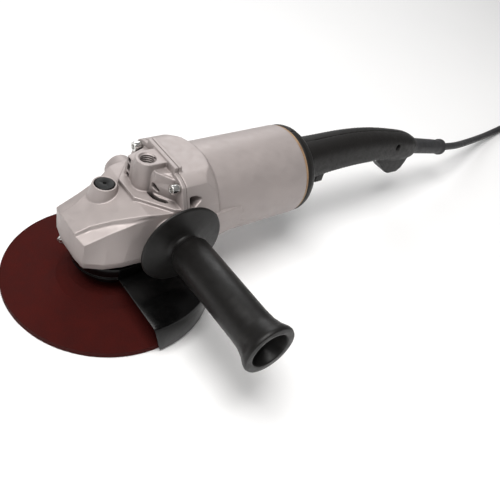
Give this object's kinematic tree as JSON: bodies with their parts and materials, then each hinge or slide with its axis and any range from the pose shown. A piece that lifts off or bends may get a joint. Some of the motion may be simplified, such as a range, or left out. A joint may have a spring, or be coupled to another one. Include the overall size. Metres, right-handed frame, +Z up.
{
  "type": "angle grinder",
  "caption": "Large angle grinder: depressed-centre wheel under a half guard, cast gear head and motor barrel, side handle, rear trigger handle and mains cord.",
  "frame": {"origin": "centre of the spindle's free lower end, on the wheel's axis", "axes": "+Z up the spindle axis, away from the wheel; +X along the motor axis towards the rear handle; the side handle points to -Y"},
  "size_m": [0.9105, 0.2675, 0.1277],
  "materials": {
    "cast_aluminium": "bead-blasted die casting",
    "abrasive": "resin-bonded abrasive grit",
    "black_steel": "gloss black paint",
    "flange_steel": "black oxide",
    "machined_steel": "ground",
    "gear_steel": "hardened and ground",
    "bearing_steel": "polished",
    "bush_bronze": "sintered",
    "zinc_screws": "bright zinc",
    "spring_steel": "spring wire",
    "button_plastic": "moulded",
    "handle_plastic": "grained glass-filled nylon",
    "grip_plastic": "smooth moulded",
    "inner_plastic": "moulded",
    "fan_plastic": "moulded",
    "electrical_steel": "stacked laminations",
    "copper_wire": "enamelled copper wire",
    "commutator_copper": "turned copper",
    "brass_box": "stamped brass",
    "carbon": "pressed carbon",
    "gasket_fibre": "tan seal",
    "cord_rubber": "rubber sheath",
    "plug_plastic": "moulded",
    "pin_brass": "nickel-plated brass"
  },
  "bodies": {
    "housing": {"bearing_box": "cast_aluminium", "bearing_box_screws": "zinc_screws", "bearing_retainer": "machined_steel", "brush_carrier": "inner_plastic", "brush_holders": "brass_box", "brush_springs": "spring_steel", "carbon_brushes": "carbon", "cord_clamp": "inner_plastic", "cord_clamp_screws": "zinc_screws", "cord_coil": "cord_rubber", "cord_guard": "cord_rubber", "cord_lead": "cord_rubber", "fan_shroud": "inner_plastic", "field_coils": "copper_wire", "front_bearing": "bearing_steel", "front_bearing_cap": "machined_steel", "gear_housing": "cast_aluminium", "handle_screws": "zinc_screws", "head_screws": "zinc_screws", "lock_off_pin": "machined_steel", "lock_spring": "spring_steel", "motor_housing": "cast_aluminium", "plug_body": "plug_plastic", "plug_pins": "pin_brass", "power_cord": "cord_rubber", "power_cord_end": "cord_rubber", "rear_bearing": "bearing_steel", "rear_gasket": "gasket_fibre", "rear_handle_left": "handle_plastic", "rear_handle_right": "handle_plastic", "retainer_screws": "zinc_screws", "side_handle_grip": "grip_plastic", "side_handle_stud": "machined_steel", "side_handle_washer": "machined_steel", "spindle_bearing": "bearing_steel", "spindle_bush": "bush_bronze", "stator_core": "electrical_steel", "switch_body": "inner_plastic", "trigger_pin": "machined_steel", "trigger_spring": "spring_steel"},
    "spindle_group": {"spindle": "machined_steel", "bevel_gear": "gear_steel", "inner_flange": "flange_steel", "lock_nut": "flange_steel", "grinding_wheel": "abrasive"},
    "armature": {"armature_shaft": "machined_steel", "armature_core": "electrical_steel", "armature_windings": "copper_wire", "commutator": "commutator_copper", "cooling_fan": "fan_plastic", "pinion": "gear_steel", "pinion_nut": "gear_steel"},
    "guard": {"wheel_guard": "black_steel", "guard_clamp_band": "black_steel", "guard_clamp_screw": "zinc_screws", "guard_clamp_nut": "zinc_screws"},
    "spindle_lock": {"lock_button": "button_plastic", "lock_pin": "machined_steel"},
    "trigger": {"trigger": "handle_plastic"},
    "lock_off": {"lock_off_lever": "handle_plastic"}
  },
  "joints": [
    {"name": "spindle_spin", "type": "hinge", "parent": "housing", "child": "spindle_group", "pos_m": [0, 0, 0], "axis": [0, 0, 1], "continuous": true},
    {"name": "armature_spin", "type": "hinge", "parent": "housing", "child": "armature", "pos_m": [0, 0, 0.0783], "axis": [1, 0, 0], "continuous": true},
    {"name": "guard_turn", "type": "hinge", "parent": "housing", "child": "guard", "pos_m": [0, 0, 0], "axis": [0, 0, 1], "range_deg": [-30, 45]},
    {"name": "spindle_lock_press", "type": "slide", "parent": "housing", "child": "spindle_lock", "axis": [0, 0, -1], "range_m": [0, 0.004], "stiffness_N_per_m": 400, "springref_m": -0.003, "deforming": ["lock_spring"]},
    {"name": "trigger_squeeze", "type": "hinge", "parent": "housing", "child": "trigger", "pos_m": [0.314, 0, 0.067], "axis": [0, 1, 0], "range_deg": [0, 4], "stiffness_Nm_per_rad": 1.2, "springref_deg": -5.73, "deforming": ["trigger_spring"]},
    {"name": "lock_off_swing", "type": "hinge", "parent": "housing", "child": "lock_off", "pos_m": [0.2365, 0, 0.068], "axis": [0, 1, 0], "range_deg": [0, 10], "stiffness_Nm_per_rad": 0.05, "springref_deg": -11.46}
  ],
  "couplings": [
    {"joint": "armature_spin", "follows": "spindle_spin", "ratio": 3.0833}
  ]
}
